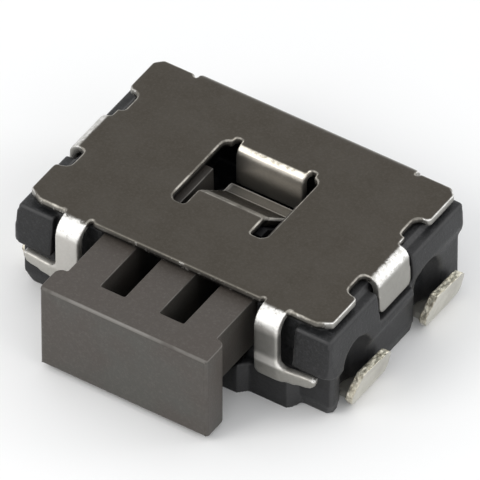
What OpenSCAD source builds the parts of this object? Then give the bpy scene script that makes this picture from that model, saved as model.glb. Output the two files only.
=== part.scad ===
// Side-push tactile switch for surface mounting, millimetres.
// +X runs along the button's width, the button faces -Y and +Z points away from the board.
// The origin is the centre of the body's footprint on the board.

/* [Body] */
// Width of the moulded body across its corner posts
body_w = 4.9; // [4.8:0.05:5.4]
// Depth from the front face to the cover's rear tab
body_d = 3.5; // [3.45:0.01:3.9]
// Height over the cover
body_h = 1.6; // [1.55:0.05:1.8]
// How far the upper body's sides and posts lean out, from the cover down to the waist
body_draft = 0.075; // [0.015:0.005:0.08]
// Inset of the lower body's sides from the width across the posts
lower_inset = 0.03; // [0.01:0.01:0.06]
// Height of the waist below the corner posts, where the body is widest
waist_h = 0.82; // [0.8:0.01:0.86]
// How much higher the waist sits behind the side tabs
waist_step = 0.28; // [0.2:0.02:0.32]
// Height of the slope below the waist
waist_slope_h = 0.18; // [0.1:0.02:0.2]
// Chamfer along the body's outer edges at the board, measured inwards
base_cut = 0.07; // [0.02:0.01:0.08]
// Depth of each small step back along the front face
front_step = 0.125; // [0.06:0.005:0.14]
// Set-back of the corner posts from the front face
post_back = 0.17; // [0.14:0.01:0.2]
// Radius of the posts' outer corners
post_r = 0.15; // [0.1:0.01:0.18]
// Height of the sill that the button's stem passes over
sill_h = 0.61; // [0.6:0.01:0.66]
// Height of the floor that carries the contacts
floor_h = 0.38; // [0.36:0.01:0.4]
// Depth from the front face to the shoulders that stop the button
shoulder_back = 0.6; // [0.54:0.01:0.66]
// Thickness of the rear wall between the cover's tab and the cavity
rear_wall = 0.3; // [0.2:0.02:0.34]

/* [Cover] */
// Thickness of the stamped sheet
sheet_t = 0.12; // [0.1:0.01:0.13]
// Inset of the cover's side edges from the body's sides
cover_inset = 0.1; // [0.06:0.01:0.12]
// Set-back of the cover's front edge from the body's front face
cover_front = 0.27; // [0.25:0.005:0.3]
// Set-back of the cover's rear corners from its rear tab
cover_rear = 0.11; // [0.1:0.01:0.14]
// Length of the cut across each corner, along the side
cover_cut = 0.12; // [0.05:0.01:0.2]
// Width of the side tabs
side_tab_w = 0.74; // [0.6:0.02:0.9]
// Drop of the side tabs below the cover's top
side_tab_drop = 0.61; // [0.56:0.01:0.7]
// Outward lean of the side tabs
side_tab_lean = 4; // [0:1:6]
// Length of the relief notch on each side of a side tab
notch_l = 0.44; // [0.3:0.02:0.5]
// Depth of the relief notches
notch_deep = 0.2; // [0.12:0.01:0.24]
// How much further back the rear relief notch sits from its tab than the front one
notch_back = 0.16; // [0:0.01:0.18]
// Width of the rear tab
rear_tab_w = 3.4; // [3:0.05:3.6]
// Drop of the rear tab below the cover's top
rear_tab_drop = 0.75; // [0.6:0.05:0.9]
// Width of the two front strips
strip_w = 0.37; // [0.3:0.01:0.42]
// Outer bend radius of the front strips
strip_r = 0.27; // [0.22:0.01:0.28]
// Height of the foot at the end of each front strip
foot_h = 0.23; // [0.18:0.01:0.25]
// Height of the foot's lower edge above the board
foot_z = 0.54; // [0.5:0.01:0.58]

/* [Window] */
// Width of the window in the cover
window_w = 1.48; // [1.4:0.02:1.6]
// Depth of the window, front to back
window_d = 1.345; // [1.3:0.005:1.4]
// Width of the ramp tongue in the window
tongue_w = 1.02; // [0.9:0.02:1.1]
// Length of the tongue's level root
tongue_root = 0.336; // [0.3:0.002:0.36]
// Level run that the tongue's ramp covers
ramp_run = 0.58; // [0.56:0.01:0.6]
// Angle of the ramp below level
ramp_angle = 39.5; // [38:0.5:41]
// Length of the tongue's level tip
tongue_tip = 0.19; // [0.15:0.01:0.2]
// Drop of the flap at the window's rear edge
flap_drop = 0.62; // [0.5:0.01:0.7]
// Width of the flap
flap_w = 1.06; // [0.9:0.02:1.1]

/* [Button] */
// Width of the push face
button_w = 2.6; // [2.46:0.02:2.64]
// Height of the push face
button_h = 1.36; // [1.3:0.01:1.4]
// Thickness of the push plate
plate_t = 0.46; // [0.35:0.01:0.5]
// How far the push face stands in front of the body
button_out = 1; // [0.85:0.01:1.1]
// Width of the stem behind the push plate
stem_w = 2.32; // [2.26:0.01:2.36]
// Width of the stem's middle rib
rib_w = 0.53; // [0.5:0.01:0.56]
// Width of each open slot beside the middle rib
slot_w = 0.385; // [0.36:0.005:0.4]
// Travel of the button
stroke = 0.18; // [0.12:0.01:0.2]
// How far the latch barbs stand out of the stem's sides
barb_out = 0.16; // [0.1:0.01:0.18]
// Width of the latch barbs' standing tips, before they slope away
barb_tip = 0.12; // [0.08:0.01:0.16]
// Length of the latch barbs
barb_l = 0.4; // [0.34:0.01:0.42]
// Rounding of the push face's edges
face_edge_r = 0.06; // [0.04:0.01:0.07]
// Rounding of the push plate's rear corners
plate_rear_r = 0.12; // [0.08:0.01:0.14]
// Draft on each side of the stem's slots, over the body's height
slot_draft = 0.04; // [0.02:0.01:0.05]
// How far the stem's arms reach back past the pusher's front
arm_reach = 0.74; // [0.66:0.01:0.76]

/* [Pusher] */
// How far the pusher's front stands before the ramp
pusher_front = 0.12; // [0.1:0.01:0.13]
// Level length of the pusher's sloping back
wedge_run = 0.48; // [0.44:0.01:0.5]
// Height of the nose that presses the dome
nose_h = 0.2; // [0.16:0.01:0.22]
// Radius of the nose at its tip
nose_r = 0.18; // [0.14:0.01:0.2]

/* [Contacts] */
// Thickness of the contact frames
lead_t = 0.12; // [0.1:0.01:0.12]
// Width of each terminal
lead_w = 0.9; // [0.7:0.02:0.92]
// Width of the terminals' soles, which lie on the board
sole_w = 0.46; // [0.4:0.02:0.6]
// Height of the turned-up terminals above the board
lead_h = 0.55; // [0.45:0.01:0.58]
// How far the terminals stand out past the body
lead_out = 0.19; // [0.15:0.01:0.3]
// Outward lean of the terminals
lead_lean = 11; // [8:0.5:16]
// Distance between the front and rear terminals, centre to centre
lead_pitch = 1.77; // [1.7:0.01:1.8]
// Place of the terminals' middle behind the body's middle
contact_y = 0.075; // [0.05:0.005:0.1]
// Diameter of the snap dome
dome_d = 2.1; // [2:0.02:2.2]
// Rise of the snap dome
dome_rise = 0.25; // [0.23:0.01:0.26]
// Thickness of the snap dome
dome_t = 0.05; // [0.04:0.01:0.05]

/* [Fits] */
// Gap between the button's stem and its channel
slide_gap = 0.03; // [0.02:0.01:0.04]
// Gap between the cover's tabs and their recesses
tab_gap = 0.03; // [0.02:0.01:0.04]
// Gap between the pusher's sides and the stem's arms
pusher_side_gap = 0.07; // [0.05:0.01:0.08]
// Gap between the pusher and what it touches
pusher_gap = 0.015; // [0.01:0.005:0.02]

/* [Hidden] */
$fn = 48;
bend_steps = 7;
join = 0.02;
past = 1;
both = [-1, 1];

// Levels and sides of the body
front_y = -body_d / 2;
rear_y = body_d / 2;
side_x = body_w / 2;
low_x = side_x - lower_inset;
wide_x = side_x + 2 * body_draft / 3;
narrow_x = wide_x - body_draft;
base_cut_h = 0.24;
rear_waist_h = waist_h + waist_step;
top_z = body_h - sheet_t;
rim_z = top_z - 0.06;
post_y = front_y + post_back;
post_foot_y = post_y - 2 * body_draft / 3;
body_rear_y = rear_y - cover_rear + 0.01;
low_rear_y = body_rear_y - 0.05;
shoulder_y = front_y + shoulder_back;
foot_top_z = foot_z + foot_h;

// Cover plate, tabs and strips
plate_front_y = front_y + cover_front;
plate_rear_y = rear_y - cover_rear;
plate_x = side_x - cover_inset;
tab_face_x = side_x - 0.03;
side_bend_r = 0.18;
rear_bend_r = 0.14;
strip_y = front_y;
strip_x0 = stem_w / 2 + 0.2;
strip_x1 = strip_x0 + strip_w;
strip_mid = (strip_x0 + strip_x1) / 2;
foot_sweep = 6;
channel_back_y = post_y + 0.16;
channel_x1 = strip_x1 + 0.15;

// Window, tongue and flap
window_y0 = plate_front_y + 0.955;
window_y1 = window_y0 + window_d;
ramp_y0 = window_y0 + tongue_root;
ramp_y1 = ramp_y0 + ramp_run;
ramp_drop = ramp_run * tan(ramp_angle);
ramp_under_y = ramp_y0 - sheet_t * tan(ramp_angle / 2);
tip_y = ramp_y1 + tongue_tip;
flap_r = 0.14;
relief = 0.1;
flap_y = window_y1 - relief;

// Button and pusher
face_y = front_y - button_out;
button_top = top_z - slide_gap;
button_bottom = button_top - button_h;
stem_y = face_y + plate_t;
stem_x = stem_w / 2;
stem_z0 = sill_h + slide_gap;
arm_x0 = rib_w / 2 + slot_w;
pusher_y0 = ramp_under_y - pusher_front;
rib_y1 = pusher_y0 - pusher_gap;
arm_y1 = pusher_y0 + arm_reach;
barb_y0 = shoulder_y + slide_gap;
pusher_w = 2 * (arm_x0 - pusher_side_gap);
press = stroke * tan(ramp_angle);

// Cavity and contacts
channel_x = stem_x + slide_gap;
pocket_x = stem_x + barb_out + slide_gap;
cavity_y1 = plate_rear_y - rear_wall;
dome_y = contact_y + 0.05;
dome_seat_r = dome_d / 2 + 0.04;
lead_y = [contact_y - lead_pitch / 2, contact_y + lead_pitch / 2];
lead_z = floor_h - lead_t;
low_lead_z = 0.12;
pad_z = floor_h + dome_rise - press - 0.01;
root_x = dome_seat_r + 0.41;
bar_x = root_x + join;
ring_x0 = dome_seat_r - 0.34;
ring_x1 = dome_seat_r + 0.15;
pad_r = 0.25;

// Points along an arc
function arc(centre, r, from, to) =
    [for (i = [0:bend_steps]) let (a = from + (to - from) * i / bend_steps) centre + r * [cos(a), sin(a)]];

function unit(v) = v / norm(v);
function left_of(v) = [-v[1], v[0]];

// Direction across a bent sheet at point i of its path, longer where the path turns
function across(path, i) =
    let (
        last = len(path) - 1,
        a = unit(i > 0 ? path[i] - path[i - 1] : path[1] - path[0]),
        b = unit(i < last ? path[i + 1] - path[i] : path[last] - path[last - 1]),
        m = unit(left_of(a) + left_of(b))
    ) m / (m * left_of(a));

// The same points on the other side of the middle, in reverse order
function mirror_back(half) = [for (i = [len(half) - 1:-1:0]) [-half[i][0], half[i][1]]];

// A sheet bent along a path; a positive thickness lies to the left of the path
module bent_sheet(path, t) {
    back = [for (i = [len(path) - 1:-1:0]) path[i] + t * across(path, i)];
    polygon(concat(path, back));
}

// Extrudes a [y, z] outline along X, centred
module along_x(width) {
    rotate([90, 0, 90])
        linear_extrude(width, center = true) children();
}

// Extrudes an [x, z] outline along Y, centred
module along_y(width) {
    rotate([90, 0, 0])
        linear_extrude(width, center = true) children();
}

// A block between two opposite corners
module block(low, high) {
    translate(low) cube(high - low);
}

// Both halves of something drawn on the +X side
module left_and_right() {
    for (s = both) scale([s, 1, 1]) children();
}

// A rectangle with rounded corners, from its two opposite corners
module round_rect(p, q, r) {
    polygon(concat(
        arc([q[0] - r, q[1] - r], r, 0, 90),
        arc([p[0] + r, q[1] - r], r, 90, 180),
        arc([p[0] + r, p[1] + r], r, 180, 270),
        arc([q[0] - r, p[1] + r], r, 270, 360)
    ));
}

// ---- Housing ----

// Plan of the lower body: the front steps back twice on each side, with sloping risers
module lower_plan() {
    riser = 0.12;
    step_1 = front_y + front_step;
    step_2 = front_y + 2 * front_step;
    half = [
        [stem_x - 0.06, front_y],
        [stem_x - 0.06 + riser, step_1],
        [strip_x1 + 0.07, step_1],
        [strip_x1 + 0.07 + riser, step_2],
        [low_x - 0.04, step_2 + 0.01],
        [low_x, step_2 + 0.07],
        [low_x, low_rear_y - 0.06],
        [low_x - 0.06, low_rear_y]
    ];
    polygon(concat(half, mirror_back(half)));
}

// Plan of the upper body, up to the fronts of the corner posts
module upper_plan() {
    round_rect([-wide_x, post_foot_y], [wide_x, body_rear_y], post_r);
}

// The body seen from the front: chamfered at the board, widest at the waist, leaning in above it
module front_view() {
    half = [
        [low_x - base_cut, 0],
        [low_x, base_cut_h],
        [low_x, waist_h - waist_slope_h],
        [wide_x, waist_h],
        [narrow_x, rim_z],
        [narrow_x, body_h]
    ];
    polygon(concat(half, mirror_back(half)));
}

// Band below the waist that the slope is cut from, from the posts back to the side tabs
module waist_band() {
    bottom = waist_h - waist_slope_h;
    block([-wide_x, post_y + 0.2, bottom], [wide_x, side_tab_w / 2, waist_h]);
}

// Lean of the posts' front faces
module post_lean() {
    along_x(2 * body_w)
        polygon([
            [post_foot_y + body_draft, rim_z],
            [post_foot_y, waist_h],
            [post_y - 1, waist_h],
            [post_y - 1, body_h],
            [post_foot_y + body_draft, body_h]
        ]);
}

// A wedge that takes the bottom off a face: it faces -Y and cuts deep in at the board
module bottom_wedge(length, deep) {
    along_x(length)
        polygon([
            [-1, base_cut_h],
            [0, base_cut_h],
            [deep, 0],
            [deep, -1],
            [-1, -1]
        ]);
}

// Chamfers below the posts, along the front of the body's outer ends and across their corners
module base_chamfer() {
    end_l = low_x - strip_x1;
    translate([low_x, front_y + 2 * front_step, 0]) {
        bottom_wedge(2 * (end_l - 0.17), base_cut);
        rotate([0, 0, 45])
            translate([0, 0.02, 0]) bottom_wedge(1, 1.7 * base_cut);
    }
}

// Land inside the rim that the cover's plate lies on
module land_plan() {
    round_rect([-plate_x + 0.1, plate_front_y + 0.1], [plate_x - 0.1, plate_rear_y - 0.06], 0.1);
}

// Channel behind a front strip, and the gap below the post for its foot
module strip_space() {
    block([0, front_y - past, foot_z], [channel_x1, channel_back_y, body_h]);
    block([0, front_y - past, foot_z - tab_gap], [body_w, post_y + 0.1, foot_top_z + tab_gap]);
}

// Recess for a side tab; it stops just below the tab's lower edge
module side_recess() {
    half_w = side_tab_w / 2 + 0.045;
    bottom = body_h - side_tab_drop - 0.06;
    block([tab_face_x - sheet_t - tab_gap, -half_w, bottom], [body_w, half_w, body_h]);
    block([tab_face_x - side_bend_r, -half_w, top_z - 0.14], [body_w, half_w, body_h]);
}

// Recess for the rear tab
module rear_recess() {
    half_w = rear_tab_w / 2 + tab_gap;
    block([-half_w, rear_y - sheet_t - tab_gap, body_h - rear_tab_drop - 0.06], [half_w, body_d, body_h]);
    block([-half_w, rear_y - rear_bend_r - tab_gap, top_z - 0.14], [half_w, body_d, body_h]);
}

// Pocket in the side wall behind a terminal, with a round-topped groove that runs up from it
module lead_pocket(y) {
    groove_r = 0.36;
    groove_h = lead_h + 0.17;
    pocket_w = sole_w + 0.1;
    block([low_x - 0.1, y - pocket_w / 2, -lead_h], [body_w, y + pocket_w / 2, lead_t + 0.1]);
    translate([side_x + 0.13, y - 0.17, 0]) {
        cylinder(h = groove_h, r = groove_r);
        translate([0, 0, groove_h]) sphere(r = groove_r);
    }
}

// Lower body behind the side tabs, up to the foot of the slope there
module rear_base() {
    slope_foot_h = rear_waist_h - waist_slope_h;
    intersection() {
        linear_extrude(slope_foot_h) lower_plan();
        block([-body_w, side_tab_w / 2, 0], [body_w, body_d, slope_foot_h]);
    }
}

// Upper body, which starts higher behind the side tabs
module upper_body() {
    difference() {
        translate([0, 0, waist_h - join]) linear_extrude(rim_z - waist_h + join) upper_plan();
        block([-body_w, side_tab_w / 2, 0], [body_w, body_d, rear_waist_h - waist_slope_h]);
    }
}

// Slopes below the waist at the sides behind the side tabs and at the rear, where it sits higher
module waist_slope() {
    lean = body_draft * waist_step / (rim_z - waist_h);
    translate([0, side_tab_w / 2 + body_d / 2, 0])
        along_y(body_d)
            polygon([
                [low_x, base_cut_h],
                [body_w, base_cut_h],
                [body_w, rear_waist_h],
                [wide_x - lean, rear_waist_h],
                [low_x, rear_waist_h - waist_slope_h]
            ]);
    along_x(2 * body_w)
        polygon([
            [low_rear_y, base_cut_h],
            [body_d, base_cut_h],
            [body_d, rear_waist_h],
            [body_rear_y, rear_waist_h],
            [low_rear_y, rear_waist_h - waist_slope_h]
        ]);
}

// Channel for the stem, pockets for its barbs and the well for the dome and pusher
module cavity() {
    pocket_y1 = barb_y0 + barb_l + stroke + 0.06;
    block([-channel_x, front_y - past, sill_h], [channel_x, shoulder_y + join, body_h]);
    block([-stem_x + 0.08, front_y - past, foot_z - 0.1], [stem_x - 0.08, channel_back_y, body_h]);
    block([-pocket_x, shoulder_y, sill_h], [pocket_x, pocket_y1, body_h]);
    block([-channel_x, shoulder_y, sill_h], [channel_x, cavity_y1, body_h]);
    translate([0, dome_y, floor_h]) cylinder(h = body_h, r = dome_seat_r);
}

module housing() {
    color([0.11, 0.11, 0.11])
        difference() {
            intersection() {
                union() {
                    linear_extrude(waist_h) lower_plan();
                    waist_band();
                    rear_base();
                    upper_body();
                    translate([0, 0, rim_z - join]) linear_extrude(top_z - rim_z + join) land_plan();
                }
                along_y(2 * body_d) front_view();
            }
            post_lean();
            left_and_right() {
                base_chamfer();
                strip_space();
                side_recess();
                waist_slope();
                for (y = lead_y) lead_pocket(y);
            }
            rear_recess();
            cavity();
            front_contact_shape();
            rear_contact_shape();
        }
}

// ---- Cover ----

// Plan of the flat plate, with a small relief on each side of the front strips
module plate_plan() {
    rear_cut = 0.1;
    nick = 0.05;
    half = [
        [strip_x0 - nick, plate_front_y],
        [strip_x0 - nick, plate_front_y + nick],
        [strip_x1 + nick, plate_front_y + nick],
        [strip_x1 + nick, plate_front_y],
        [plate_x - 0.2, plate_front_y],
        [plate_x, plate_front_y + cover_cut],
        [plate_x, plate_rear_y - rear_cut],
        [plate_x - rear_cut, plate_rear_y]
    ];
    polygon(concat(half, mirror_back(half)));
}

// One relief notch beside a side tab, with a rounded bottom and a rounded lip at its mouth
module relief_notch() {
    lip_r = 0.07;
    in_r = notch_deep - lip_r - 0.01;
    near = side_tab_w / 2;
    far = near + notch_l - lip_r / 2;
    deep_x = plate_x - notch_deep;
    polygon(concat(
        [[body_w, near]],
        arc([deep_x + 0.07, near + 0.07], 0.07, 270, 180),
        arc([deep_x + in_r, far - in_r], in_r, 180, 90),
        arc([plate_x - lip_r, far + lip_r], lip_r, 270, 360),
        [[body_w, far + lip_r]]
    ));
}

// Relief notches in front of and behind a side tab, and the edge that the tab's bend starts from
module side_notches() {
    for (s = both) scale([1, s, 1])
        translate([0, s > 0 ? notch_back : 0]) relief_notch();
    translate([tab_face_x - side_bend_r, -side_tab_w / 2 - join])
        square([body_w, side_tab_w + notch_back + 2 * join]);
}

// Edge that the rear tab's bend starts from, with a small relief at each end
module rear_notch() {
    translate([-rear_tab_w / 2, rear_y - rear_bend_r]) square([rear_tab_w, body_d]);
    left_and_right()
        round_rect([rear_tab_w / 2 - join, rear_y - rear_bend_r - 0.02], [rear_tab_w / 2 + 0.06, body_d], 0.03);
}

// Window outline, with the tongue left standing and a relief beside the flap on each side
module window_plan() {
    slot_r = (window_w - tongue_w) / 4;
    difference() {
        union() {
            round_rect([-window_w / 2, window_y0], [window_w / 2, window_y1], slot_r);
            left_and_right()
                round_rect([flap_w / 2, window_y1 - 0.2], [flap_w / 2 + relief, window_y1 + relief], 0.03);
        }
        translate([-tongue_w / 2, window_y0 - 1]) square([tongue_w, ramp_y0 - window_y0 + 1]);
    }
}

module cover_plate() {
    translate([0, 0, top_z])
        linear_extrude(sheet_t)
            difference() {
                plate_plan();
                left_and_right() side_notches();
                rear_notch();
                window_plan();
            }
}

module side_tab() {
    r = side_bend_r;
    lean = side_tab_lean;
    centre = [tab_face_x - r, body_h - r];
    bend = arc(centre, r, 90, lean);
    drop = body_h - side_tab_drop;
    last = bend[bend_steps];
    foot = [last[0] + (last[1] - drop) * tan(lean), drop];
    path = concat([[centre[0] - join, body_h]], bend, [foot]);
    intersection() {
        along_y(side_tab_w) bent_sheet(path, -sheet_t);
        along_x(3 * body_w)
            round_rect([-side_tab_w / 2, drop], [side_tab_w / 2, body_h + 0.2], 0.1);
    }
}

module rear_tab() {
    r = rear_bend_r;
    path = concat(
        [[rear_y - r - join, body_h]],
        arc([rear_y - r, body_h - r], r, 90, 0),
        [[rear_y, body_h - rear_tab_drop]]
    );
    along_x(rear_tab_w) bent_sheet(path, -sheet_t);
}

// The foot of a front strip: it turns outward below the corner post and sweeps back a little
module strip_foot() {
    fillet = 0.12;
    reach = plate_x - strip_x1 - 0.07;
    translate([strip_x1, strip_y, 0])
        rotate([0, 0, foot_sweep])
            translate([0, sheet_t / 2, 0])
                along_y(sheet_t)
                    polygon(concat(
                        [[-join, foot_z], [reach - 0.07, foot_z + 0.07], [reach, foot_z + 0.13]],
                        [[reach, foot_top_z - 0.02], [reach - 0.05, foot_top_z]],
                        arc([fillet, foot_top_z + fillet], fillet, 270, 180),
                        [[-join, foot_top_z + fillet]]
                    ));
}

// A front strip: a wide bend, a straight drop and its foot
module front_strip() {
    r = strip_r;
    corner = 0.12;
    path = concat(
        [[plate_front_y + 0.2, body_h]],
        arc([strip_y + r, body_h - r], r, 90, 180),
        [[strip_y, foot_z + 0.2]]
    );
    translate([strip_mid, 0, 0]) along_x(strip_w) bent_sheet(path, sheet_t);
    translate([0, strip_y + sheet_t / 2, 0])
        along_y(sheet_t)
            polygon(concat(
                arc([strip_x0 + corner, foot_z + corner], corner, 180, 270),
                [[strip_x1, foot_z], [strip_x1, body_h - r], [strip_x0, body_h - r]]
            ));
    strip_foot();
}

// The tongue: a level root, a ramp down into the body and a level tip
module ramp_tongue() {
    r_out = 0.18;
    r_in = 0.05;
    turn = tan(ramp_angle / 2);
    path = concat(
        [[window_y0 + 0.06, body_h]],
        arc([ramp_y0 - r_out * turn, body_h - r_out], r_out, 90, 90 - ramp_angle),
        arc([ramp_y1 + r_in * turn, body_h - ramp_drop + r_in], r_in, 270 - ramp_angle, 270),
        [[tip_y, body_h - ramp_drop]]
    );
    along_x(tongue_w) bent_sheet(path, -sheet_t);
}

// The flap at the window's rear edge, bent down towards the floor
module rear_flap() {
    path = concat(
        [[window_y1 + 0.2, body_h]],
        arc([flap_y + flap_r, body_h - flap_r], flap_r, 90, 180),
        [[flap_y, body_h - flap_drop]]
    );
    along_x(flap_w) bent_sheet(path, sheet_t);
}

module cover() {
    color([0.36, 0.34, 0.31])
        union() {
            cover_plate();
            left_and_right() {
                side_tab();
                front_strip();
            }
            rear_tab();
            ramp_tongue();
            rear_flap();
        }
}

// ---- Button ----

// Push plate with rounded rear corners and a soft edge round its face
module push_plate() {
    edge = face_edge_r;
    rear_r = plate_rear_r;
    w = button_w / 2;
    intersection() {
        translate([0, 0, button_bottom])
            linear_extrude(button_h)
                polygon(concat(
                    arc([w - rear_r, stem_y - rear_r], rear_r, 0, 90),
                    arc([-w + rear_r, stem_y - rear_r], rear_r, 90, 180),
                    arc([-w + edge, face_y + edge], edge, 180, 270),
                    arc([w - edge, face_y + edge], edge, 270, 360)
                ));
        along_x(2 * button_w)
            polygon(concat(
                [[stem_y + past, button_bottom], [stem_y + past, button_top]],
                arc([face_y + edge, button_top - edge], edge, 90, 180),
                arc([face_y + edge, button_bottom + edge], edge, 180, 270)
            ));
    }
}

// Forked stem: two arms and a shorter middle rib, with drafted slots between them
module stem() {
    difference() {
        block([-stem_x, stem_y - 0.05, stem_z0], [stem_x, arm_y1, button_top]);
        left_and_right()
            translate([0, stem_y + body_d, 0])
                along_y(2 * body_d)
                    polygon([
                        [rib_w / 2, body_h],
                        [rib_w / 2 + slot_draft, 0],
                        [arm_x0 - slot_draft, 0],
                        [arm_x0, body_h]
                    ]);
        block([-arm_x0 + join, rib_y1, 0], [arm_x0 - join, body_d, body_h]);
    }
}

// Latch barb on an arm's outer side: square in front, sloping behind
module barb() {
    translate([0, 0, stem_z0])
        linear_extrude(button_top - stem_z0)
            polygon([
                [stem_x - join, barb_y0],
                [stem_x + barb_out, barb_y0],
                [stem_x + barb_out, barb_y0 + barb_tip],
                [stem_x - join, barb_y0 + barb_l]
            ]);
}

module push_button() {
    color([0.37, 0.36, 0.33])
        union() {
            push_plate();
            stem();
            left_and_right() barb();
        }
}

// ---- Pusher ----

// Wedge whose sloping back slides down the cover's ramp and whose nose presses the dome
module pusher() {
    low_z = floor_h + dome_t + dome_rise + pusher_gap;
    back_y = ramp_under_y + wedge_run;
    slope_z = top_z - pusher_gap / cos(ramp_angle);
    back_z = slope_z - (back_y - ramp_under_y) * tan(ramp_angle);
    crest_z = slope_z - slide_gap;
    color([0.13, 0.13, 0.13])
        union() {
            along_x(pusher_w)
                polygon([
                    [pusher_y0, low_z + 0.7 * nose_h],
                    [pusher_y0, crest_z],
                    [ramp_under_y + slide_gap / tan(ramp_angle), crest_z],
                    [back_y, back_z],
                    [back_y, low_z + 0.3 * nose_h]
                ]);
            translate([0, dome_y - stroke / 2, low_z])
                cylinder(h = nose_h, r1 = nose_r, r2 = nose_r + 0.4 * nose_h);
        }
}

// ---- Contacts ----

// Spherical cap cut from a thin shell; its rim stands on the outer contact
module snap_dome() {
    r = (pow(dome_d / 2, 2) + pow(dome_rise, 2)) / (2 * dome_rise);
    color([0.78, 0.78, 0.76])
        translate([0, dome_y, floor_h])
            intersection() {
                translate([0, 0, dome_rise - r])
                    difference() {
                        sphere(r = r + dome_t);
                        sphere(r = r);
                    }
                cylinder(h = past, r = dome_d / 2);
            }
}

// Outline of a terminal seen from its side: a narrow sole and a wide upright with a cut front corner
module terminal_outline() {
    w = lead_w / 2;
    sole = sole_w / 2;
    belly_h = 0.28;
    front_cut = 0.19;
    polygon(concat(
        [[-sole, -lead_h]],
        [for (a = [-90:15:0]) [-sole - (w - sole) * cos(a), belly_h * (1 + sin(a)) + 0.02]],
        [[-w + front_cut, lead_h + 0.04], [w - 0.08, lead_h - 0.03], [w, lead_h - 0.12]],
        [for (a = [0:-15:-90]) [sole + (w - sole) * cos(a), belly_h * (1 + sin(a)) + 0.02]],
        [[sole, -lead_h]]
    ));
}

// A terminal: down through the floor, out along the board and up beside the body
module terminal(z_in, y) {
    r = lead_t + 0.05;
    lean = 90 - lead_lean;
    top_x = side_x + lead_out;
    bend_x = top_x - lead_h * tan(lead_lean);
    down_x = root_x + 0.2;
    inner = [[root_x, z_in], [down_x, z_in], [down_x + 0.6 * z_in, 0], [low_x - 0.1, 0]];
    outer = concat(
        [[low_x - 0.12, 0]],
        arc([bend_x - r * tan(lean / 2), r], r, 270, 270 + lean),
        [[top_x + 0.1 * tan(lead_lean), lead_h + 0.1]]
    );
    translate([0, y, 0]) {
        along_y(sole_w) bent_sheet(inner, lead_t);
        intersection() {
            along_y(lead_w) bent_sheet(outer, lead_t);
            along_x(2 * body_w) terminal_outline();
            union() {
                along_y(sole_w) square([body_w, lead_h + past]);
                block([low_x + tab_gap, -lead_w, 0], [body_w, lead_w, lead_h + past]);
            }
        }
    }
}

// Outer contact: a bar across the front with two arms under the dome's rim
module front_contact_shape() {
    left_and_right() terminal(lead_z, lead_y[0]);
    block([-bar_x, lead_y[0] - sole_w / 2, lead_z], [bar_x, lead_y[0] + sole_w / 2, floor_h]);
    left_and_right()
        block([ring_x0, lead_y[0], lead_z], [ring_x1, dome_y + 0.35, floor_h]);
}

// Centre contact: a bar across the rear, lower in the floor, with a raised pad below the dome
module rear_contact_shape() {
    left_and_right() terminal(low_lead_z, lead_y[1]);
    low_top_z = low_lead_z + lead_t;
    pad_x = pad_r + 0.05;
    block([-bar_x, lead_y[1] - sole_w / 2, low_lead_z], [bar_x, lead_y[1] + sole_w / 2, low_top_z]);
    block([-pad_x, dome_y - pad_x, low_lead_z], [pad_x, lead_y[1], low_top_z]);
    translate([0, dome_y, low_lead_z]) cylinder(h = pad_z - low_lead_z, r = pad_r);
}

module front_contact() {
    color([0.74, 0.72, 0.68]) front_contact_shape();
}

module rear_contact() {
    color([0.74, 0.72, 0.68]) rear_contact_shape();
}

housing();
cover();
push_button();
pusher();
snap_dome();
front_contact();
rear_contact();
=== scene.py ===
# %% [markdown]
# # A side-push tactile switch
# This lesson dresses a packed CAD model of a small surface-mount switch.
# The shapes, their places and their motion come from the CAD frame, so nothing is fitted by eye here.
# What is made here is what the CAD can't hold: worn edges, finishes, light and a camera.
# The frame comes first, because every later cell asks it where a piece is.

# %% Load the frame
import math

import bpy
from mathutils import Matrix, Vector


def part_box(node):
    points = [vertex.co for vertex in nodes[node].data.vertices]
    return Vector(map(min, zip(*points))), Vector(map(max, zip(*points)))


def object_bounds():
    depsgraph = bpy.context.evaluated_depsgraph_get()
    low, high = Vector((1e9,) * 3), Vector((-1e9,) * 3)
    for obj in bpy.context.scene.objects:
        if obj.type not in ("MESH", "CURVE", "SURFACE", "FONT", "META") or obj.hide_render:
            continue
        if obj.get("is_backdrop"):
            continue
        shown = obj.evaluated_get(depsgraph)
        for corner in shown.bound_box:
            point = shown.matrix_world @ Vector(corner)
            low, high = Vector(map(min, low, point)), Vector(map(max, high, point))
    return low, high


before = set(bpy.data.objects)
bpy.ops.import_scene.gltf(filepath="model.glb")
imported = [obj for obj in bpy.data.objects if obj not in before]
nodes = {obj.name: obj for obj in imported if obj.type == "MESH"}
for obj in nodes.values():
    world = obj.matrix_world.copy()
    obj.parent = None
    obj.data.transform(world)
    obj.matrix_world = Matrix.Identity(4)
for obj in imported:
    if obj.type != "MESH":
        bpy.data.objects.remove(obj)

cad_low, cad_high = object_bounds()
MM = 0.001
print("pieces:", ", ".join(sorted(nodes)))
print("size in mm:", [round(v / MM, 3) for v in cad_high - cad_low])

# %% [markdown]
# ## Landmarks
# Two places on the switch are used again and again: the top of its steel cover, and the face that is pushed.
# They could be typed in, but then they would be wrong as soon as the CAD changed.
# So they are read from the pieces' own boxes, and kept as plain numbers in millimetres.

# %% Landmarks from the frame
cover_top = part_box("cover")[1].z / MM
push_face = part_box("push_button")[0].y / MM
print("cover top at", round(cover_top, 3), "mm; push face at", round(push_face, 3), "mm")

# %% [markdown]
# ## Directions
# A camera and a lamp are both set up the same way: so far round the object, so far up, and turned towards it.
# A constraint could keep it tracking an empty, but a helper that turns it once leaves nothing to update.

# %% Direction helpers
def way_towards(azimuth, elevation):
    """Unit vector from the switch: degrees round from its front to its right, and degrees up."""
    a, e = math.radians(azimuth), math.radians(elevation)
    return Vector((math.sin(a) * math.cos(e), -math.cos(a) * math.cos(e), math.sin(e)))


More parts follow.
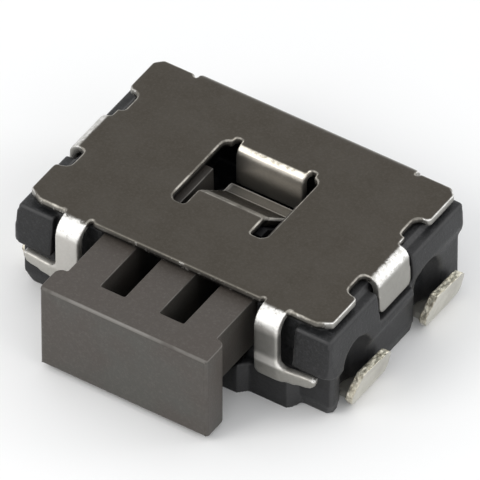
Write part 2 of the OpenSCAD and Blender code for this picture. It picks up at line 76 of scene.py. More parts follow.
def stand(thing, way, distance, target=Vector()):
    """Puts a camera or a lamp at a distance from its target, and turns it to face the target."""
    thing.location = target + way * distance
    thing.rotation_mode = "QUATERNION"
    thing.rotation_quaternion = (-way).to_track_quat("-Z", "Y")
    bpy.context.scene.collection.objects.link(thing)


print("front right and above:", [round(v, 3) for v in way_towards(45, 45)])

# %% [markdown]
# ## Camera
# A part this small is looked at from far away with a long lens, so its parallel edges stay nearly parallel.
# An orthographic camera would do that too, but a long lens at a matching distance is still a perspective
# camera, and every other view can reuse it.
# The camera looks down at the switch from the front right. It aims a little below the cover, between the
# middle of the body and the button.

# %% Camera
CAMERA_AZIMUTH, CAMERA_ELEVATION = 33.2, 43.3
VIEW_WIDTH = 6.262
LENS, SENSOR = 1100.0, 36.0
# the point that the camera faces: right of and before the middle of the body, and below the cover's top
AIM_RIGHT, AIM_FORWARD, AIM_DROP = 0.218, 0.308, 0.451
NEAR_SHARE, FAR_SHARE = 0.2, 4.0

aim = Vector((AIM_RIGHT, -AIM_FORWARD, cover_top - AIM_DROP)) * MM
distance = VIEW_WIDTH * MM * LENS / SENSOR
camera_data = bpy.data.cameras.new("long_lens")
camera_data.sensor_width, camera_data.lens = SENSOR, LENS
camera_data.clip_start, camera_data.clip_end = distance * NEAR_SHARE, distance * FAR_SHARE
camera = bpy.data.objects.new("camera", camera_data)
stand(camera, way_towards(CAMERA_AZIMUTH, CAMERA_ELEVATION), distance, aim)
bpy.context.scene.camera = camera
bpy.context.scene.view_settings.view_transform = "Standard"
print("camera stands", round(distance, 3), "m away")

# %% [markdown]
# ## Floor
# A product table is a pale sweep, so wide that its edge is never seen.
# A curved sweep would hide the horizon as well, but this camera looks down, so a flat sheet is enough.
# It lies at the lowest point of the part, where the board would be.

# %% Floor
FLOOR_HALF_SIZE = 150


def stage_floor(half_size, height):
    mesh = bpy.data.meshes.new("table_top")
    corners = [(x * half_size, y * half_size, height) for x, y in ((-1, -1), (1, -1), (1, 1), (-1, 1))]
    mesh.from_pydata(corners, [], [(0, 1, 2, 3)])
    table_top = bpy.data.objects.new("table_top", mesh)
    bpy.context.scene.collection.objects.link(table_top)
    table_top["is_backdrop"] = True
    return table_top


floor = stage_floor(FLOOR_HALF_SIZE * MM, cad_low.z)
print("floor at", floor.data.vertices[0].co.z)

# %% [markdown]
# ## Helpers for nodes
# The light, every finish and the torn edges are small node trees. They could be wired by hand in the editor,
# but the same few nodes come back in all of them, so they get short names here.
# The helpers add a node, set it up and hand back its output, so that a tree reads as one line per idea.

# %% Node helpers
class Nodes:
    """Short ways to add nodes to one tree."""

    def __init__(self, tree):
        self.tree = tree

    def node(self, kind, **settings):
        made = self.tree.nodes.new(kind)
        for key, value in settings.items():
            setattr(made, key, value)
        return made

    def feed(self, socket, value):
        """A number or a colour is typed into a socket, anything else is linked to it."""
        if isinstance(value, (int, float)):
            socket.default_value = value
        elif isinstance(value, tuple):
            socket.default_value = (*value, 1.0)
        else:
            self.tree.links.new(value, socket)

    def math(self, operation, a, b=0.0, clamp=False):
        made = self.node("ShaderNodeMath", operation=operation, use_clamp=clamp)
        self.feed(made.inputs[0], a)
        self.feed(made.inputs[1], b)
        return made.outputs[0]

    def both(self, first, *others):
        """Numbers multiplied together."""
        for other in others:
            first = self.math("MULTIPLY", first, other)
        return first

    def either(self, first, *others):
        """The largest of several numbers."""
        for other in others:
            first = self.math("MAXIMUM", first, other)
        return first

    def split(self, vector):
        """The x, y and z of a vector."""
        made = self.node("ShaderNodeSeparateXYZ")
        self.feed(made.inputs[0], vector)
        return made.outputs

    def spread(self, value, low, high, to_low=0.0, to_high=1.0):
        """Maps low..high to to_low..to_high, smoothly at both ends, and clamps it."""
        made = self.node("ShaderNodeMapRange", interpolation_type="SMOOTHSTEP")
        for name, number in zip(("Value", "From Min", "From Max", "To Min", "To Max"),
                                (value, low, high, to_low, to_high)):
            self.feed(made.inputs[name], number)
        return made.outputs[0]

    def blend(self, amount, first, second):
        """A mix of two colours by amount."""
        made = self.node("ShaderNodeMix", data_type="RGBA")
        for slot, value in zip((0, 6, 7), (amount, first, second)):
            self.feed(made.inputs[slot], value)
        return made.outputs[2]


print("node helpers:", ", ".join(name for name in vars(Nodes) if not name.startswith("_")))

# %% [markdown]
# ## World light
# Round the table stands a tent of white cloth, which gives soft light from all sides.
# The world does the work of the tent. A studio image could light it too, but plain colour needs no file.
# The world lights the part a little less than fully, and shows plain white to the camera and in reflections.

# %% World light
TENT_LIGHT = ((0.98, 0.99, 1.0), 0.86)
TENT_SEEN = ((1.0, 1.0, 1.0), 1.0)


def world_light():
    world = bpy.data.worlds.new("soft_surround")
    world.use_nodes = True
    world.node_tree.nodes.clear()
    tent = Nodes(world.node_tree)
    rays = tent.node("ShaderNodeLightPath").outputs
    mix = tent.node("ShaderNodeMixShader")
    seen = tent.either(rays["Is Camera Ray"], rays["Is Glossy Ray"], rays["Is Transmission Ray"])
    tent.feed(mix.inputs["Fac"], seen)
    for socket, (colour, strength) in zip(mix.inputs[1:], (TENT_LIGHT, TENT_SEEN)):
        cloth = tent.node("ShaderNodeBackground")
        tent.feed(cloth.inputs["Color"], colour)
        tent.feed(cloth.inputs["Strength"], strength)
        tent.feed(socket, cloth.outputs[0])
    tent.feed(tent.node("ShaderNodeOutputWorld").inputs["Surface"], mix.outputs[0])
    bpy.context.scene.world = world


world_light()
print("tent light at", TENT_LIGHT[1])

# %% [markdown]
# ## Lamps
# Three large round lamps add direction: a strong one at the front left, which draws the bright lines on the
# cover's bends, a weaker one behind at the right, and the weakest at the right side.
# Small lamps or a sun would give hard shadows. A disk half as wide as it is far away gives soft ones.
# Lamps are sized in millimetres like the part, because softness depends on a lamp's size as the part sees it.
# Brightness is given per area, so a lamp can be made larger without changing how bright its disk looks.

# %% Lamps
LAMP_DISTANCE = 40


def soft_lamp(name, azimuth, elevation, size, radiance, tint=(1.0, 1.0, 1.0)):
    data = bpy.data.lights.new(name, "AREA")
    data.shape, data.size = "DISK", size * MM
    data.energy = radiance * math.pi * math.pi * (size * MM / 2) ** 2
    data.color = tint
    stand(bpy.data.objects.new(name, data), way_towards(azimuth, elevation), LAMP_DISTANCE * MM)
    print(name, "power", round(data.energy, 5), "W")


soft_lamp("front_lamp", -30, 42, 20, 4.4, tint=(1.0, 0.985, 0.96))
soft_lamp("back_lamp", 131, 26, 22, 1.8)
soft_lamp("right_lamp", 75, 35, 22, 0.9)

# %% [markdown]
# ## Masks by place and direction
# A maker describes a finish by place: this tab, that bend, the top, the cut edge.
# A mask is a number from 0 to 1 that says how much of a finish a place has. Painted masks would need an
# image, but place and direction can be worked out from the surface itself.
# So these helpers turn lengths in millimetres and directions into masks, and join masks together.
# The grain is noise in the piece's own space, so it sticks to the part and looks the same from every side.

# %% Mask helpers
class Masks(Nodes):
    """Masks from 0 to 1 made of a surface point's place and direction."""

    def __init__(self, tree):
        super().__init__(tree)
        self.coords = self.node("ShaderNodeTexCoord")

    def place(self):
        """The x, y and z of the surface point, in metres."""
        return self.split(self.coords.outputs["Object"])

    def facing(self):
        """The x, y and z of the surface's direction in the piece's own space."""
        return self.split(self.coords.outputs["Normal"])

    def past(self, value, start, end):
        """Goes from 0 to 1 as value, in metres, goes from start to end millimetres."""
        return self.spread(value, start * MM, end * MM)

    def band(self, value, low, high, soft):
        """1 where value, in metres, lies between low and high millimetres, with soft ends."""
        end = self.spread(value, high * MM, (high + soft) * MM, 1.0, 0.0)
        return self.both(self.past(value, low - soft, low), end)

    def edges(self):
        """1 on rounded edges: where the surface faces along none of the three axes."""
        return self.spread(self.either(*(self.math("ABSOLUTE", way) for way in self.facing())), 0.97, 0.86)

    def grain(self, size, detail=3.0, rough=0.6):
        """Noise whose blobs are about size millimetres across."""
        blobs = self.node("ShaderNodeMapping")
        self.feed(blobs.inputs["Vector"], self.coords.outputs["Object"])
        blobs.inputs["Scale"].default_value = [1.0 / (size * MM)] * 3
        noise = self.node("ShaderNodeTexNoise")
        self.feed(noise.inputs["Vector"], blobs.outputs[0])
        for name, value in (("Scale", 1.0), ("Detail", detail), ("Roughness", rough)):
            self.feed(noise.inputs[name], value)
        return noise.outputs[0]


print("mask helpers:", ", ".join(name for name in vars(Masks) if not name.startswith("_")))

# %% [markdown]
# ## A finish in coats
# Real finishes lie over each other: bare metal, then skin, then dirt, then what handling has rubbed off.
# They could be separate shaders mixed together, but one Principled shader with one mixed colour is lighter.
# So a finish starts with a ground colour, and each coat covers what is under it where its mask is 1.
# Numbers that are the same all over a surface sit on the shader itself.

# %% Finish
class Finish(Masks):
    """One material: a Principled shader, and coats of colour over a ground."""

    def __init__(self, name, metallic, roughness, specular=0.5):
        self.material = bpy.data.materials.new(name)
        self.material.use_nodes = True
        self.material.node_tree.nodes.clear()
        super().__init__(self.material.node_tree)
        self.shader = self.node("ShaderNodeBsdfPrincipled")
        self.set("Metallic", metallic)
        self.set("Roughness", roughness)
        self.set("Specular IOR Level", specular)
        self.feed(self.node("ShaderNodeOutputMaterial").inputs["Surface"], self.shader.outputs[0])

    def set(self, name, value):
        self.feed(self.shader.inputs[name], value)

    def ground(self, colour):
        self.colour = colour
        self.set("Base Color", colour)

    def coat(self, mask, colour, strength=1.0):
        """Covers the colour so far with another, where mask is 1."""
        if strength < 1.0:
            mask = self.both(mask, strength)
        self.ground(self.blend(mask, self.colour, colour))

    def relief(self, height, depth):
        """Bump of a given depth in millimetres."""
        made = self.node("ShaderNodeBump")
        made.inputs["Distance"].default_value = depth * MM
        self.feed(made.inputs["Height"], height)
        self.set("Normal", made.outputs[0])


def dress(node_name, finish):
    """Gives a CAD node one finish."""
    slots = nodes[node_name].data.materials
    slots.clear()
    slots.append(finish.material)
    print(node_name, "wears", finish.material.name)


print("finish helpers:", ", ".join(name for name in vars(Finish) if not name.startswith("_")))

# %% [markdown]
# ## Table finish
# The table is matte and nearly white, so that it fades into the background and still takes a faint shadow.
# A shadow catcher would hide the table altogether, but a real table also throws light up under the part.

# %% Table finish
table = Finish("matte_table", metallic=0.0, roughness=0.9, specular=0.1)
table.ground(table.blend(table.grain(4.0), (0.93, 0.93, 0.93), (0.95, 0.95, 0.95)))
floor.data.materials.append(table.material)
print("table wears", table.material.name)

# %% [markdown]
# ## Moulded edges
# The button and the pusher are plain mouldings with long straight edges that the mould leaves a little round.
# Their radius could be cut in the CAD, but it is so small that there it would only cost faces.
# A bevel modifier rolls a narrow strip along each sharp edge, and weighted normals keep the large faces flat.
# Welding and dissolving come first, because a bevel needs whole faces and not a fan of triangles.
# The radii are in millimetres.

# %% Bevel the button and the pusher
MOULD_RADIUS = {"push_button": 0.02, "pusher": 0.015}
JOIN_DISTANCE = 0.0005
FLAT_WITHIN, SHARP_FROM = math.radians(0.4), math.radians(32)
BEVEL_SEGMENTS = 3
LARGE_FACE_WEIGHT = 90


def smooth_faces(piece):
    for face in piece.data.polygons:
        face.use_smooth = True


def bevel_edges(node_name, radius):
    piece = nodes[node_name]
    smooth_faces(piece)
    weld = piece.modifiers.new("join_corners", "WELD")
    weld.merge_threshold = JOIN_DISTANCE * MM
    whole = piece.modifiers.new("whole_faces", "DECIMATE")
    whole.decimate_type, whole.angle_limit = "DISSOLVE", FLAT_WITHIN
    edge = piece.modifiers.new("edge_radius", "BEVEL")
    edge.width, edge.segments = radius * MM, BEVEL_SEGMENTS
    edge.limit_method, edge.angle_limit = "ANGLE", SHARP_FROM
    edge.miter_outer = "MITER_ARC"
    edge.use_clamp_overlap = False
    flat = piece.modifiers.new("flat_faces", "WEIGHTED_NORMAL")
    flat.weight, flat.keep_sharp = LARGE_FACE_WEIGHT, False
    print(node_name, "has edges of radius", radius, "mm")


for name, radius in MOULD_RADIUS.items():
    bevel_edges(name, radius)

# %% [markdown]
# ## Rolled and tumbled edges
# The cover's sheet has edges rolled over by its die, and the body and the contacts have many small corners
# that meet at odd angles. A bevel gets caught where such corners lie closer together than its own width.
# Rebuilding the piece on a fine grid and smoothing it a little rounds every edge alike, and can't get caught.
# The grid is as coarse as the smallest detail allows, because halving it makes four times as many faces.

# %% Round the cover, the body and the contacts
# grid step in millimetres, and smoothing passes
FINE_GRIDS = {
    "cover": (0.0215, 7),
    "housing": (0.029, 2),
    "front_contact": (0.017, 3),
    "rear_contact": (0.017, 3),
}
SMOOTHING_PER_PASS = 0.5


def round_off(node_name, grid, passes):
    piece = nodes[node_name]
    fine = piece.modifiers.new("fine_grid", "REMESH")
    fine.mode, fine.voxel_size, fine.use_smooth_shade = "VOXEL", grid * MM, True
    worn = piece.modifiers.new("worn_edges", "SMOOTH")
    worn.factor, worn.iterations = SMOOTHING_PER_PASS, passes
    print(node_name, "is rebuilt on a grid of", grid, "mm")


for name, (grid, passes) in FINE_GRIDS.items():
    round_off(name, grid, passes)
smooth_faces(nodes["snap_dome"])

# %% [markdown]
# ## Torn edges
# A blanking die shears the upper part of a sheet and tears the rest, so a cut edge of strip is ragged.
# A bump in the finish would leave the outline straight, and the outline is what the eye sees here.
# So geometry nodes push the surface by noise, only where it faces the cut and only above the solder's reach.
# The push is always inward, so the piece never grows past its drawn size.

# %% Tear the cut edges
# how squarely a surface faces along the axis before it starts to tear, and when it tears fully
FACES_CUT = (0.45, 0.8)
# levels of the noise at which the tear starts and is deepest
NOISE_TORN = (0.4, 0.66)
TEAR_FADE = 0.06
TEAR_DETAIL = 3.0


class Geometry(Nodes):
    """The same short ways, in a geometry tree."""

    def ramp(self, value, low, high, to_high=1.0):
        """Maps low..high to 0..to_high in a straight line, and clamps it."""
        made = self.node("ShaderNodeMapRange")
        for name, number in zip(("Value", "From Min", "From Max", "To Min", "To Max"),
                                (value, low, high, 0.0, to_high)):
            self.feed(made.inputs[name], number)
        return made.outputs[0]


def torn_edges(node_name, axis, depth, size, above):
    """Pushes the surface in by up to depth where it faces along an axis, above a height, in millimetres."""
    tree = bpy.data.node_groups.new("torn_edges_" + node_name, "GeometryNodeTree")
    for way in ("INPUT", "OUTPUT"):
        tree.interface.new_socket("Geometry", in_out=way, socket_type="NodeSocketGeometry")
    torn = Geometry(tree)
    point = torn.node("GeometryNodeInputPosition").outputs[0]
    normal = torn.node("GeometryNodeInputNormal").outputs[0]
    noise = torn.node("ShaderNodeTexNoise")
    for name, value in (("Vector", point), ("Scale", 1.0 / (size * MM)), ("Detail", TEAR_DETAIL)):
        torn.feed(noise.inputs[name], value)
    cut = torn.ramp(torn.math("ABSOLUTE", torn.split(normal)[axis]), *FACES_CUT)
    high = torn.ramp(torn.split(point)["Z"], above * MM, (above + TEAR_FADE) * MM)
    inward = torn.ramp(noise.outputs[0], *NOISE_TORN, to_high=-depth * MM)
    push = torn.node("ShaderNodeVectorMath", operation="SCALE")
    torn.feed(push.inputs[0], normal)
    torn.feed(push.inputs["Scale"], torn.both(cut, high, inward))
    move = torn.node("GeometryNodeSetPosition")
    torn.feed(move.inputs["Geometry"], torn.node("NodeGroupInput").outputs[0])
    torn.feed(move.inputs["Offset"], push.outputs[0])
    torn.feed(torn.node("NodeGroupOutput").inputs[0], move.outputs[0])
    nodes[node_name].modifiers.new("torn_edges", "NODES").node_group = tree
    print(node_name, "is torn up to", depth, "mm deep where it faces along", axis)


for name in ("front_contact", "rear_contact"):
    torn_edges(name, "Z", depth=0.024, size=0.09, above=0.32)
    torn_edges(name, "Y", depth=0.014, size=0.08, above=0.1)

# %% [markdown]
# ## The cover's bends
# The cover is rolled stainless sheet. Its flat top is painted dark as a painted reflection, and over each
# bend the colour is painted bright as a painted highlight.
# The cover could be split into separate faces with a material each, but the dark top doesn't end at a line.
# So masks follow the surface: whether it is past a bend's start, how far below the top, which way it faces.

# %% Masks for the bends
# where each bend starts and where it is well begun, in millimetres from the middle of the switch
TAB_BEND = (2.23, 2.28)
STRIP_BEND = (-1.49, -1.54)
REAR_BEND = (1.6, 1.66)
# heights between which a strip's bend gives way to its straight drop
STRIP_BEND_END = (1.2, 1.32)
LEFT_SIDE = (-2.0, -2.2)
# how far the ragged border of the dark top wanders to each side, in metres
RAGGED = (-0.05 * MM, 0.05 * MM)


def down(start, end):
    """Two heights, from two depths below the cover's top."""
    return cover_top - start, cover_top - end


BEND_BEGUN, BELOW_TOP = down(0.002, 0.012), down(0.004, 0.03)


def bend_masks(steel):
    """Everything that is bent out of the plate, and the part of each bend that gets a painted highlight."""
    x, y, z = steel.place()
    nz = steel.facing()[2]
    border = steel.spread(steel.grain(0.09, detail=4.0, rough=0.75), 0.3, 0.7, *RAGGED)
    tabs = steel.past(steel.math("ADD", steel.math("ABSOLUTE", x), border), *TAB_BEND)
    strips = steel.past(steel.math("ADD", y, border), *STRIP_BEND)
    rear = steel.past(y, *REAR_BEND)
    begun, below = steel.past(z, *BEND_BEGUN), steel.past(z, *BELOW_TOP)
    strip_bend = steel.both(strips, steel.past(z, *STRIP_BEND_END))
    rear_bend = steel.both(rear, steel.spread(nz, 0.8, 0.64))
    return {
        "outside": steel.either(tabs, strips, rear),
        "tabs": steel.both(tabs, begun),
        "front": strips,
        "strips": steel.both(strips, below),
        "rear": steel.both(rear, below),
        "bend": steel.both(steel.spread(nz, 0.1, 0.45), begun, steel.either(tabs, strip_bend, rear_bend)),
        "left": steel.past(x, *LEFT_SIDE),
    }


print("skin ends", TAB_BEND[0], "mm out at the sides and", REAR_BEND[0], "mm back at the rear")

# %% [markdown]
# ## The cover's strips
# Two strips run down the front and end in feet. The right one gets a painted dark reflection below its bend
# and a painted highlight lower down, and its foot is a little greyer than the left one.
# Such marks could be left out, but a strip of one even grey looks printed.
# Each mark is a soft band of height on one strip.

# %% Masks for the strips
# a band is its low end, its high end and the softness of both, in millimetres
RIGHT_STRIP = (1.3, 1.8, 0.05)
DARK_REFLECTION_HEIGHT = (0.98, 1.27, 0.1)
STRIP_HIGHLIGHT_HEIGHT = (0.8, 0.86, 0.08)
FOOT_BELOW = (0.8, 0.74)
RIGHT_TO_LEFT = (0.5, -0.5)


def strip_masks(steel, front):
    """front is 1 on everything that is bent down at the front."""
    x, _, z = steel.place()
    right = steel.band(x, *RIGHT_STRIP)
    return {
        "smudge": steel.both(front, right, steel.band(z, *DARK_REFLECTION_HEIGHT)),
        "wiped": steel.both(front, right, steel.band(z, *STRIP_HIGHLIGHT_HEIGHT)),
        "foot": steel.both(front, steel.past(z, *FOOT_BELOW)),
        "left_half": steel.past(x, *RIGHT_TO_LEFT),
    }


print("feet begin below", FOOT_BELOW[0], "mm")

# %% [markdown]
# ## The cover's window
# A flap and a ramp-shaped tongue are bent down inside the window. The flap is painted lighter as a painted
# reflection, and its bend gets the brightest painted highlight. The tongue keeps the dark top colour, its
# level tip is painted lighter as painted reflection, and painted highlights run along the tip's rims and the
# tongue's cut edges.
# The flap gets painted shade low down and on the left, so it is darker there.
# The window could be a piece of its own with simpler masks, but then the cover would no longer be one sheet.

# %% Masks for the window
# a pair is where a mask starts and where it is full, and three numbers are a band
WINDOW_SIDE = (0.72, 0.6)
FLAP = (0.7, 0.9, 0.02)
FLAP_BEND = down(0.001, 0.008)
FLAP_DARK_DOWN, FLAP_DARK_LEFT = (1.42, 1.18), (-0.1, -0.55)
TONGUE, TONGUE_BELOW = (-0.15, 0.62, 0.03), down(0.03, 0.06)
TIP = (0.385, 0.4)
TIP_LEFT_RIM, TIP_FOLD, TIP_REAR_RIM = (-0.43, -0.47), (0.39, 0.405, 0.015), (0.545, 0.56)
TIP_END = (0.53, 0.555)


def window_masks(steel):
    """The flap and the tongue, which are bent down inside the window."""
    x, y, z = steel.place()
    nx, _, nz = steel.facing()
    in_window = steel.past(steel.math("ABSOLUTE", x), *WINDOW_SIDE)
    flap = steel.both(in_window, steel.band(y, *FLAP))
    # painted shade: the flap is darker low down and on the left
    shaded = steel.either(steel.past(z, *FLAP_DARK_DOWN), steel.past(x, *FLAP_DARK_LEFT))
    tongue = steel.both(in_window, steel.band(y, *TONGUE), steel.past(z, *TONGUE_BELOW))
    tip = steel.both(tongue, steel.past(y, *TIP))
    rims = steel.either(steel.past(x, *TIP_LEFT_RIM), steel.band(y, *TIP_FOLD), steel.past(y, *TIP_REAR_RIM))
    side = steel.both(steel.spread(steel.math("ABSOLUTE", nx), 0.1, 0.35), steel.spread(nz, 0.1, 0.3))
    end = steel.both(steel.past(y, *TIP_END), steel.spread(nz, 0.99, 0.93))
    return {
        "flap_all": flap,
        "flap": steel.both(flap, steel.past(z, *BELOW_TOP)),
        "flap_bend": steel.both(flap, steel.past(z, *FLAP_BEND), steel.spread(nz, 0.55, 0.78)),
        "flap_shade": steel.both(flap, shaded),
        "tip": tip,
        "tip_rims": steel.both(tip, rims),
        "tongue_edge": steel.both(tongue, steel.either(side, end)),
    }


print("flap lies from", FLAP[0], "to", FLAP[1], "mm; tip starts at", TIP[1], "mm")

# %% [markdown]
# ## The cover's cut edges
# The die rolls the top of a cut edge over, and that rim is painted light as a painted highlight, except at
# the front between the strips, where it is kept dark as painted shade. Below it the cut face is coloured
# darker.
# A line of lighter colour could be drawn along the edges, but it would be as bright everywhere.
# Here the rolled rim is found by its lean, and the cut by facing sideways within the plate's thickness.

# %% Masks for the cut edges
TEAR_DEPTH = 0.05
IN_PLATE, SHEARED = down(0.15, 0.125), down(TEAR_DEPTH + 0.035, TEAR_DEPTH)
MIDDLE_SIDE, MIDDLE_FRONT = (1.34, 1.2), (-1.35, -1.4)


def edge_masks(steel, bent_away):
    """bent_away is 1 on everything that is bent out of the plate."""
    x, y, z = steel.place()
    side, nz = steel.math("ABSOLUTE", x), steel.facing()[2]
    plate = steel.both(steel.math("SUBTRACT", 1.0, bent_away, clamp=True), steel.past(z, *IN_PLATE))
    leans = steel.both(steel.spread(nz, 0.995, 0.92), steel.spread(nz, 0.08, 0.3))
    return {
        "rim": steel.both(leans, plate),
        "cut": steel.both(steel.spread(nz, 0.35, 0.1), plate),
        "sheared": steel.past(z, *SHEARED),
        "middle": steel.both(steel.past(side, *MIDDLE_SIDE), steel.past(y, *MIDDLE_FRONT)),
    }


print("a cut edge is sheared for", TEAR_DEPTH, "mm and torn below")

# %% [markdown]
# ## The cover's colours
# Stainless steel is never one grey. Each place gets a darker and a lighter colour, mixed by fine noise.
# A single metal with varied roughness would be simpler, but the dark top, the painted reflections and the
# painted highlights differ in colour too.
# The strips' colour is worked out first, and the whole cover is then built up coat by coat.

# %% Strip colour
STRIP_REFLECTION_STEEL = (0.5, 0.485, 0.455), (0.62, 0.6, 0.565)
PAINTED_DARK_REFLECTION, PAINTED_STRIP_HIGHLIGHT = (0.22, 0.216, 0.2), (0.85, 0.83, 0.79)
RIGHT_FOOT = (0.26, 0.252, 0.23), (0.345, 0.336, 0.31)
LEFT_FOOT = (0.38, 0.368, 0.336), (0.5, 0.487, 0.45)
MARK_STRENGTH = 0.8


def strip_colour(steel, on, fine):
    # painted reflection: the strips are lighter than the top
    colour = steel.blend(fine, *STRIP_REFLECTION_STEEL)
    # a painted dark reflection band and, lower down, a painted highlight band on the right strip
    colour = steel.blend(steel.both(on["smudge"], MARK_STRENGTH), colour, PAINTED_DARK_REFLECTION)
    colour = steel.blend(steel.both(on["wiped"], MARK_STRENGTH), colour, PAINTED_STRIP_HIGHLIGHT)
    foot = steel.blend(on["left_half"], steel.blend(fine, *RIGHT_FOOT), steel.blend(fine, *LEFT_FOOT))
    return steel.blend(on["foot"], colour, foot)


print("strips go from", STRIP_REFLECTION_STEEL[0], "to", STRIP_REFLECTION_STEEL[1])

# %% [markdown]
# ## The cover's finish
# The coats go in this order: the top painted dark as a painted reflection, the bent members painted lighter
# as painted reflection, painted highlights on the bends, painted shade on the left tab, and last the painted
# highlight on the rims and the darker cut face.
# One painted image could hold all of this, but coats follow the surface when its shape changes.
# The bends are also bumpy, like fine orange peel, because the die drags the surface as it bends it.

# %% Cover finish
# the top is painted dark as a painted reflection of a dark surround, with fine lighter specks
DARK_TOP_REFLECTION = (0.064, 0.056, 0.045), (0.073, 0.065, 0.054)
TOP_SPECK = (0.094, 0.086, 0.074)
# the tip is painted lighter than the top as painted reflection, with a painted highlight on its rims and the
# tongue's cut edges
TIP_REFLECTION_STEEL, TIP_RIM_HIGHLIGHT = ((0.1, 0.094, 0.084), (0.16, 0.151, 0.135)), (0.55, 0.53, 0.5)
TONGUE_EDGE_HIGHLIGHT = (0.75, 0.72, 0.66)
# the tabs and the rear flap are painted lighter than the top as painted reflection
TAB_REFLECTION_STEEL = (0.28, 0.275, 0.255), (0.37, 0.36, 0.335)
# the flap is painted lighter as painted reflection, and darker low down and on the left as painted shade
FLAP_REFLECTION_STEEL, FLAP_PAINTED_SHADE = ((0.48, 0.45, 0.4), (0.62, 0.58, 0.52)), (0.1, 0.095, 0.085)
# painted highlights on the bends, mottled by the bend's grain
FLAP_BEND_HIGHLIGHT = (0.5, 0.46, 0.38), (0.95, 0.9, 0.8)
STRIP_BEND_HIGHLIGHT = (0.62, 0.61, 0.58), (0.98, 0.97, 0.95)
BEND_HIGHLIGHT = (0.62, 0.6, 0.57), (0.97, 0.96, 0.93)
LEFT_TAB_SHADE = (0.1, 0.095, 0.085)
# painted highlight on the rims, and painted shade on the front rim between the strips
RIM_HIGHLIGHT, MIDDLE_RIM_SHADE = ((0.15, 0.14, 0.122), (0.42, 0.4, 0.36)), (0.1, 0.093, 0.08)
DARK_CUT_FACE = (0.018, 0.017, 0.015), (0.16, 0.15, 0.135)


def cover_finish():
    steel = Finish("rolled_cover_steel", metallic=0.85, roughness=0.42)
    on = bend_masks(steel)
    on |= strip_masks(steel, on["front"]) | window_masks(steel)
    on |= edge_masks(steel, steel.either(on["outside"], on["flap_all"]))
    fine, peel = steel.grain(0.035, rough=0.7), steel.grain(0.075, detail=4.0, rough=0.75)
    # the top painted dark as a painted reflection, and the tongue's tip with its painted highlights
    steel.ground(steel.blend(steel.spread(steel.grain(0.5), 0.3, 0.7), *DARK_TOP_REFLECTION))
    steel.coat(steel.spread(fine, 0.4, 0.75, 0.0, 0.5), TOP_SPECK)
    steel.coat(on["tip"], steel.blend(fine, *TIP_REFLECTION_STEEL))
    # painted highlights along the tip's rims and the tongue's cut edges
    steel.coat(on["tip_rims"], TIP_RIM_HIGHLIGHT, strength=0.7)
    steel.coat(on["tongue_edge"], TONGUE_EDGE_HIGHLIGHT)
    # bent members, painted lighter than the top as painted reflection
    steel.coat(steel.either(on["tabs"], on["rear"]), steel.blend(steel.grain(0.2), *TAB_REFLECTION_STEEL))
    steel.coat(on["strips"], strip_colour(steel, on, fine))
    flap_reflection_and_shade = steel.blend(steel.both(on["flap_shade"], 0.8), steel.blend(fine, *FLAP_REFLECTION_STEEL), FLAP_PAINTED_SHADE)
    steel.coat(on["flap"], flap_reflection_and_shade)
    # painted highlights on the bends, and painted shade on the left tab
    steel.coat(on["flap_bend"], steel.blend(steel.spread(peel, 0.35, 0.6), *FLAP_BEND_HIGHLIGHT))
    strip_bend_highlight = steel.blend(steel.spread(peel, 0.4, 0.62), *STRIP_BEND_HIGHLIGHT)
    bend_highlight = steel.blend(steel.spread(peel, 0.3, 0.5), *BEND_HIGHLIGHT)
    steel.coat(on["bend"], steel.blend(on["strips"], strip_bend_highlight, bend_highlight))
    # painted shade on the left tab
    steel.coat(steel.both(on["left"], on["tabs"]), LEFT_TAB_SHADE, strength=0.25)
    # painted highlight on the rolled rims, painted shade on them at the front between the strips, and the
    # darker cut face
    rim_highlight = steel.blend(steel.spread(steel.grain(0.25, rough=0.7), 0.35, 0.65), *RIM_HIGHLIGHT)
    steel.coat(on["rim"], steel.blend(on["middle"], rim_highlight, MIDDLE_RIM_SHADE))
    steel.coat(on["cut"], steel.blend(on["sheared"], *DARK_CUT_FACE))
    steel.set("Roughness", steel.spread(peel, 0.3, 0.7, 0.36, 0.5))
    # the tongue's cut edges are made less metallic so that their painted highlight reads light
    steel.set("Metallic", steel.spread(on["tongue_edge"], 0.0, 1.0, 0.85, 0.3))
    bumpy = steel.spread(steel.both(on["bend"], on["tabs"]), 0.0, 1.0, 0.22, 0.75)
    steel.relief(steel.both(peel, bumpy), 0.012)
    return steel


dress("cover", cover_finish())

# %% [markdown]
# ## Moulded body
# The body is black glass-filled resin. The mould is spark-eroded in front of the corner posts, which leaves
# a rough, dark face there, and glass fibres at the surface show as pale specks.
# Fibres could be scattered as tiny pieces, but they are finer than anything that a view shows.
# So specks and grain are noise at two sizes. Its rounded edges get a lighter painted highlight, and under the
# window the body gets painted shade.

# %% Body finish
BODY_BLACK = (0.008, 0.0085, 0.0095), (0.016, 0.0165, 0.0175)
FIBRE, EDGE_HIGHLIGHT_BLACK, UNDER_COVER_SHADE_BLACK = (0.05, 0.05, 0.054), (0.03, 0.03, 0.031), (0.003, 0.003, 0.0035)
ERODED = (0.002, 0.002, 0.0025), (0.02, 0.02, 0.021)
HIDDEN_SIDE, HIDDEN_DEPTH, HIDDEN_BELOW = (1.0, 0.9), (-0.8, 1.0, 0.1), (1.47, 1.4)


